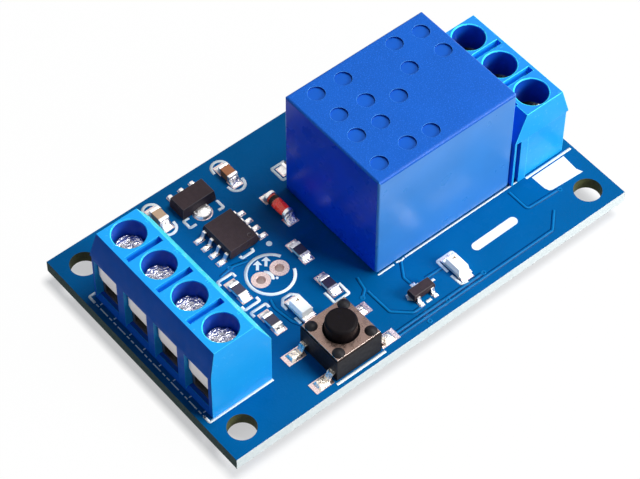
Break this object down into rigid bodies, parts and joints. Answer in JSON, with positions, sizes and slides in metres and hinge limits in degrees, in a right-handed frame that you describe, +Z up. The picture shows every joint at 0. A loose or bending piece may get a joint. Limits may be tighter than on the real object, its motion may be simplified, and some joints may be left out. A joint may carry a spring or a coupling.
{
  "type": "latching relay module board",
  "caption": "Small circuit board with a cube relay, screw terminals at both ends, a push button and surface-mount parts; the button toggles the relay.",
  "frame": {"origin": "centre of the four fixing holes, on the underside of the board", "axes": "+X along the board towards the three-pole output terminal, +Y across the board away from the push button, +Z up out of the component side"},
  "size_m": [0.0544, 0.0326, 0.0189],
  "materials": {
    "laminate": "solder mask over glass laminate, semi-gloss",
    "pads": "tinned copper",
    "solder": "bright solder",
    "terminal_plastic": "moulded nylon, azure, semi-gloss",
    "clamp_steel": "tin-plated strip",
    "guard_strip": "dull plated strip",
    "screw_zinc": "bright zinc",
    "relay_plastic": "moulded case, royal blue, semi-gloss",
    "relay_base_plastic": "moulded base, dark blue",
    "bobbin_plastic": "off-white moulding",
    "copper_wire": "enamelled copper wire",
    "relay_iron": "plated soft iron",
    "contact_bronze": "spring bronze with silver buttons",
    "tinned_lead": "bright tin",
    "switch_plastic": "black moulding, fine grain",
    "switch_steel": "warm nickel-plated steel",
    "dome_steel": "spring steel",
    "package_epoxy": "black-brown moulded epoxy",
    "diode_glass": "orange-red glass over a dark die",
    "ceramic_tan": "fired ceramic, tan",
    "ceramic_brown": "fired ceramic, brown",
    "resistor_glaze": "dark glaze on ceramic",
    "indicator_lens": "cream epoxy lens"
  },
  "bodies": {
    "board": {"circuit_board": "laminate", "copper_pads": "pads", "solder_joints": "solder", "in_housing": "terminal_plastic", "in_clamps": "clamp_steel", "out_housing": "terminal_plastic", "out_clamps": "clamp_steel", "relay_cover": "relay_plastic", "relay_base": "relay_base_plastic", "relay_bobbin": "bobbin_plastic", "relay_winding": "copper_wire", "relay_core": "relay_iron", "relay_yoke": "relay_iron", "relay_open_contact": "contact_bronze", "relay_closed_contact": "contact_bronze", "relay_common_pin": "tinned_lead", "relay_coil_pins": "tinned_lead", "switch_body": "switch_plastic", "switch_plate": "switch_steel", "switch_dome": "dome_steel", "switch_leads": "tinned_lead", "controller_body": "package_epoxy", "controller_leads": "tinned_lead", "regulator_body": "package_epoxy", "regulator_leads": "tinned_lead", "transistor_body": "package_epoxy", "transistor_leads": "tinned_lead", "diode_glass": "diode_glass", "diode_caps": "tinned_lead", "capacitor_1": "ceramic_tan", "capacitor_1_ends": "tinned_lead", "capacitor_2": "ceramic_brown", "capacitor_2_ends": "tinned_lead", "resistor_1": "resistor_glaze", "resistor_2": "resistor_glaze", "resistor_3": "resistor_glaze", "resistor_4": "resistor_glaze", "resistor_5": "resistor_glaze", "resistor_ends": "tinned_lead", "indicator_1": "indicator_lens", "indicator_2": "indicator_lens", "indicator_ends": "tinned_lead"},
    "plunger": {"switch_plunger": "switch_plastic"},
    "armature": {"relay_armature": "relay_iron", "relay_contact_leaf": "contact_bronze"},
    "in_guard_1": {"in_guard_1": "guard_strip"},
    "in_screw_1": {"in_screw_1": "screw_zinc"},
    "in_guard_2": {"in_guard_2": "guard_strip"},
    "in_screw_2": {"in_screw_2": "screw_zinc"},
    "in_guard_3": {"in_guard_3": "guard_strip"},
    "in_screw_3": {"in_screw_3": "screw_zinc"},
    "in_guard_4": {"in_guard_4": "guard_strip"},
    "in_screw_4": {"in_screw_4": "screw_zinc"},
    "out_guard_1": {"out_guard_1": "guard_strip"},
    "out_screw_1": {"out_screw_1": "screw_zinc"},
    "out_guard_2": {"out_guard_2": "guard_strip"},
    "out_screw_2": {"out_screw_2": "screw_zinc"},
    "out_guard_3": {"out_guard_3": "guard_strip"},
    "out_screw_3": {"out_screw_3": "screw_zinc"}
  },
  "joints": [
    {"name": "plunger_press", "type": "slide", "parent": "board", "child": "plunger", "axis": [0, 0, -1], "range_m": [0, 0.00025], "stiffness_N_per_m": 5000, "springref_m": -0.0001, "deforming": ["switch_dome"]},
    {"name": "armature_pull", "type": "hinge", "parent": "board", "child": "armature", "pos_m": [0.00045, 0.00013, 0.012], "axis": [0, 1, 0], "range_deg": [0, 2.4], "stiffness_Nm_per_rad": 0.02, "springref_deg": -2.86},
    {"name": "in_guard_1_slide", "type": "slide", "parent": "board", "child": "in_guard_1", "axis": [0, 0, -1], "range_m": [0, 0.002]},
    {"name": "in_screw_1_turn", "type": "hinge", "parent": "in_guard_1", "child": "in_screw_1", "pos_m": [-0.0225, -0.00827, 0.0076], "axis": [0, 0, -1], "range_deg": [0, 1440]},
    {"name": "in_guard_2_slide", "type": "slide", "parent": "board", "child": "in_guard_2", "axis": [0, 0, -1], "range_m": [0, 0.002]},
    {"name": "in_screw_2_turn", "type": "hinge", "parent": "in_guard_2", "child": "in_screw_2", "pos_m": [-0.0225, -0.00319, 0.0076], "axis": [0, 0, -1], "range_deg": [0, 1440]},
    {"name": "in_guard_3_slide", "type": "slide", "parent": "board", "child": "in_guard_3", "axis": [0, 0, -1], "range_m": [0, 0.002]},
    {"name": "in_screw_3_turn", "type": "hinge", "parent": "in_guard_3", "child": "in_screw_3", "pos_m": [-0.0225, 0.00189, 0.0076], "axis": [0, 0, -1], "range_deg": [0, 1440]},
    {"name": "in_guard_4_slide", "type": "slide", "parent": "board", "child": "in_guard_4", "axis": [0, 0, -1], "range_m": [0, 0.002]},
    {"name": "in_screw_4_turn", "type": "hinge", "parent": "in_guard_4", "child": "in_screw_4", "pos_m": [-0.0225, 0.00697, 0.0076], "axis": [0, 0, -1], "range_deg": [0, 1440]},
    {"name": "out_guard_1_slide", "type": "slide", "parent": "board", "child": "out_guard_1", "axis": [0, 0, 1], "range_m": [0, 0.002]},
    {"name": "out_screw_1_turn", "type": "hinge", "parent": "out_guard_1", "child": "out_screw_1", "pos_m": [0.0225, -0.00528, 0.0076], "axis": [0, 0, 1], "range_deg": [0, 1440]},
    {"name": "out_guard_2_slide", "type": "slide", "parent": "board", "child": "out_guard_2", "axis": [0, 0, 1], "range_m": [0, 0.002]},
    {"name": "out_screw_2_turn", "type": "hinge", "parent": "out_guard_2", "child": "out_screw_2", "pos_m": [0.0225, -0.0002, 0.0076], "axis": [0, 0, 1], "range_deg": [0, 1440]},
    {"name": "out_guard_3_slide", "type": "slide", "parent": "board", "child": "out_guard_3", "axis": [0, 0, 1], "range_m": [0, 0.002]},
    {"name": "out_screw_3_turn", "type": "hinge", "parent": "out_guard_3", "child": "out_screw_3", "pos_m": [0.0225, 0.00488, 0.0076], "axis": [0, 0, 1], "range_deg": [0, 1440]}
  ],
  "couplings": [
    {"joint": "in_screw_1_turn", "follows": "in_guard_1_slide", "rad_per_m": 12566},
    {"joint": "in_screw_2_turn", "follows": "in_guard_2_slide", "rad_per_m": 12566},
    {"joint": "in_screw_3_turn", "follows": "in_guard_3_slide", "rad_per_m": 12566},
    {"joint": "in_screw_4_turn", "follows": "in_guard_4_slide", "rad_per_m": 12566},
    {"joint": "out_screw_1_turn", "follows": "out_guard_1_slide", "rad_per_m": 12566},
    {"joint": "out_screw_2_turn", "follows": "out_guard_2_slide", "rad_per_m": 12566},
    {"joint": "out_screw_3_turn", "follows": "out_guard_3_slide", "rad_per_m": 12566}
  ]
}
